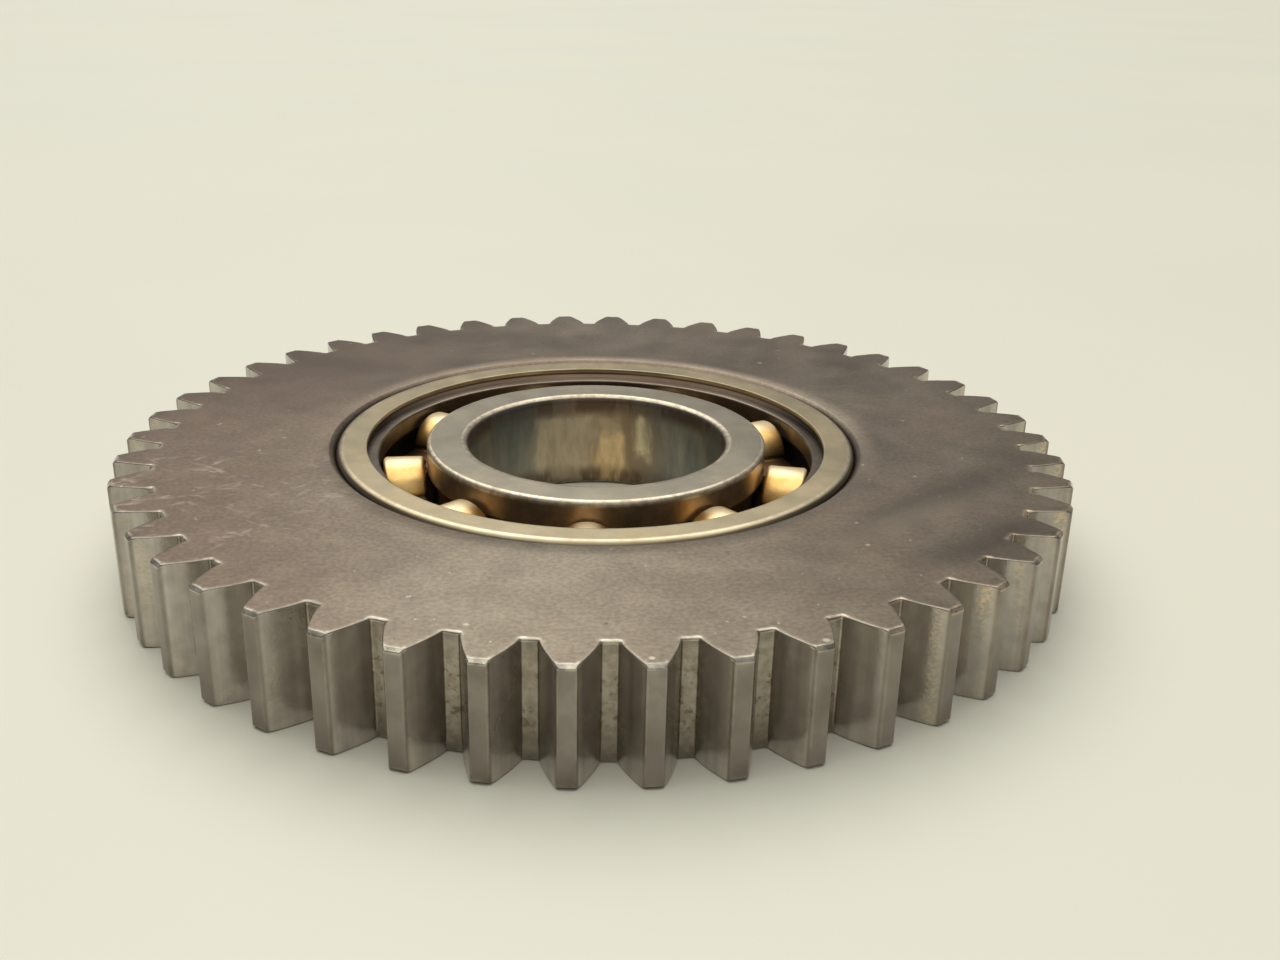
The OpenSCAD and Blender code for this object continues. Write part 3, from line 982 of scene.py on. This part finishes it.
def ball_steel():
    """Polished ball steel under a trace of oil."""
    made, tree, shader, place = new_material("polished_ball_steel")
    film = span(tree, noise(tree, place, 240, 3), 0.4, 0.7)
    tree.links.new(mixed(tree, film, BALL_CLEAN, BALL_OILY), shader.inputs["Base Color"])
    shader.inputs["Metallic"].default_value = 1.0
    tree.links.new(span(tree, film, 0, 1, 0.08, 0.18), shader.inputs["Roughness"])
    return made


def floor_paint():
    """A pale warm table top."""
    made, tree, shader, place = new_material("pale_table")
    cloud = span(tree, noise(tree, place, 5, 3), 0.3, 0.7)
    tree.links.new(mixed(tree, cloud, TABLE_LIGHT, TABLE_DARK), shader.inputs["Base Color"])
    shader.inputs["Roughness"].default_value = 0.55
    return made


# Stage

FLOOR_SIZE = 6000.0
FLOOR_DROP = 0.05
CAMERA_AT = (-5.457, -200.443, 89.474)
CAMERA_AIM = (5.825, -18.260, 16.0)
CAMERA_ROLL = math.radians(1.378)
CAMERA_LENS = 38.29
SENSOR_WIDTH = 36.0
NEAREST = 0.01
# Name, place, spread in degrees, strength and colour of each light
LIGHTS = [
    ("overhead", (-90, 200, 1000), 86, 2.18, (1.0, 0.985, 0.95)),
    ("window", (-100, 677, 731), 40, 0.5, (1.0, 0.985, 0.96)),
    ("front", (60, -820, 570), 50, 0.22, (1.0, 0.985, 0.96)),
]
WORLD_COLOUR = (0.96, 0.98, 1.0, 1.0)
WORLD_STRENGTH = 0.2


def aimed(place, aim, roll=0.0):
    """A matrix for something at a place, in millimetres, that looks along its own -Z at an aim."""
    at = Vector(place) * MM
    look = (Vector(aim) * MM - at).to_track_quat("-Z", "Y").to_matrix().to_4x4()
    return Matrix.Translation(at) @ look @ Matrix.Rotation(roll, 4, "Z")


def build_floor(material):
    """The table top, a plain sheet a hair under the part."""
    reach = FLOOR_SIZE / 2
    square = np.array([[-1, -1], [1, -1], [1, 1], [-1, 1]]) * reach
    corners = np.column_stack([square, np.full(4, -FLOOR_DROP)]) * MM
    mesh = bpy.data.meshes.new("table")
    mesh.from_pydata(corners.tolist(), [], [(0, 1, 2, 3)])
    mesh.materials.append(material)
    table = bpy.data.objects.new("table", mesh)
    bpy.context.scene.collection.objects.link(table)


def build_lights():
    """Wide soft lights far off, overhead, behind and faintly in front, and an even, dimmer sky."""
    for name, place, spread, strength, colour in LIGHTS:
        lamp = bpy.data.lights.new(name, "SUN")
        lamp.angle = math.radians(spread)
        lamp.energy = strength
        lamp.color = colour
        light = bpy.data.objects.new(name, lamp)
        light.matrix_world = aimed(place, (0, 0, 0))
        bpy.context.scene.collection.objects.link(light)
    world = bpy.data.worlds.new("studio")
    world.use_nodes = True
    sky = world.node_tree.nodes["Background"]
    sky.inputs["Color"].default_value = WORLD_COLOUR
    sky.inputs["Strength"].default_value = WORLD_STRENGTH
    bpy.context.scene.world = world


def build_camera():
    """The camera, where the photograph was taken from."""
    lens = bpy.data.cameras.new("camera")
    lens.sensor_width = SENSOR_WIDTH
    lens.lens = CAMERA_LENS
    lens.clip_start = NEAREST
    camera = bpy.data.objects.new("camera", lens)
    camera.matrix_world = aimed(CAMERA_AT, CAMERA_AIM, CAMERA_ROLL)
    bpy.context.scene.collection.objects.link(camera)
    bpy.context.scene.camera = camera


build_gear(gear_steel())
build_outer_ring(ring_steel("ground_outer_ring_steel", *OUTER_FACE, *OUTER_OIL_AND_SHADE, OUTER_EDGE_HIGHLIGHTS))
build_inner_ring(ring_steel("ground_inner_ring_steel", *INNER_FACE, *INNER_OIL, INNER_EDGE_HIGHLIGHTS))
brass_finish = cage_brass()
build_cage(brass_finish)
build_rivets(brass_finish)
build_balls(ball_steel())
build_floor(floor_paint())
build_lights()
build_camera()
bpy.context.scene.view_settings.view_transform = "Standard"
